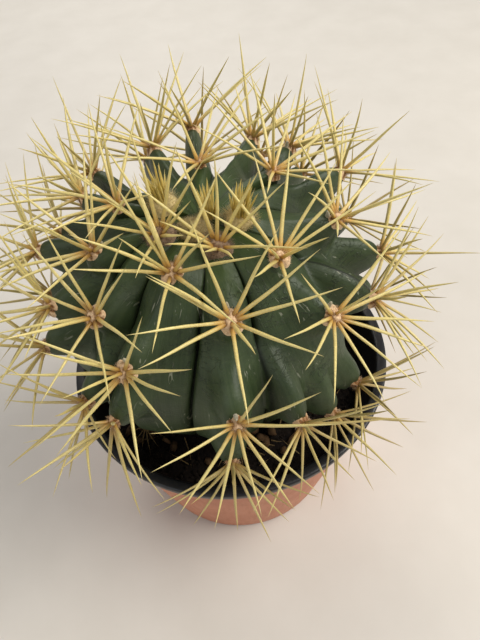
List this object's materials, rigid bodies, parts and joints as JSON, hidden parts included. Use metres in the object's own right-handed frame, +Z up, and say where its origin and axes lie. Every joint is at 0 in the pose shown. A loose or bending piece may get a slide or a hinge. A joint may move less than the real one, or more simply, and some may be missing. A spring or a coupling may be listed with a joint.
{
  "type": "potted round cactus",
  "caption": "Round ribbed cactus with stars of long straw-coloured spines on felt pads, growing in a thin round plastic nursery pot.",
  "frame": {"origin": "centre of the underside of the pot's foot, on the surface that it stands on", "axes": "+Z up, +X to the viewer's right in the picture, -Y towards the viewer"},
  "size_m": [0.1842, 0.1786, 0.1927],
  "materials": {
    "pot": "satin terracotta outside, with a black inside and lip",
    "soil": "dark crumbly peat with bark chips",
    "stem": "satin grey-green skin, finely striped and scarred",
    "spine": "straw-yellow spines, amber at the root, on cream felt",
    "young_spine": "amber young spines",
    "wool": "soft cream wool"
  },
  "bodies": {
    "root": {"pot": "pot", "soil": "soil", "cactus_stem": "stem", "crown_wool": "wool", "crown_tuft_08": "young_spine", "crown_tuft_24": "young_spine", "crown_tuft_44": "young_spine", "spine_star_01": "spine", "spine_star_02": "spine", "spine_star_03": "spine", "spine_star_04": "spine", "spine_star_05": "spine", "spine_star_06": "spine", "spine_star_07": "spine", "spine_star_09": "spine", "spine_star_10": "spine", "spine_star_11": "spine", "spine_star_12": "spine", "spine_star_13": "spine", "spine_star_14": "spine", "spine_star_15": "spine", "spine_star_16": "spine", "spine_star_17": "spine", "spine_star_18": "spine", "spine_star_19": "spine", "spine_star_20": "spine", "spine_star_21": "spine", "spine_star_22": "spine", "spine_star_23": "spine", "spine_star_25": "spine", "spine_star_26": "spine", "spine_star_27": "spine", "spine_star_28": "spine", "spine_star_29": "spine", "spine_star_30": "spine", "spine_star_31": "spine", "spine_star_32": "spine", "spine_star_33": "spine", "spine_star_34": "spine", "spine_star_35": "spine", "spine_star_36": "spine", "spine_star_37": "spine", "spine_star_38": "spine", "spine_star_39": "spine", "spine_star_40": "spine", "spine_star_41": "spine", "spine_star_42": "spine", "spine_star_43": "spine"}
  },
  "joints": []
}
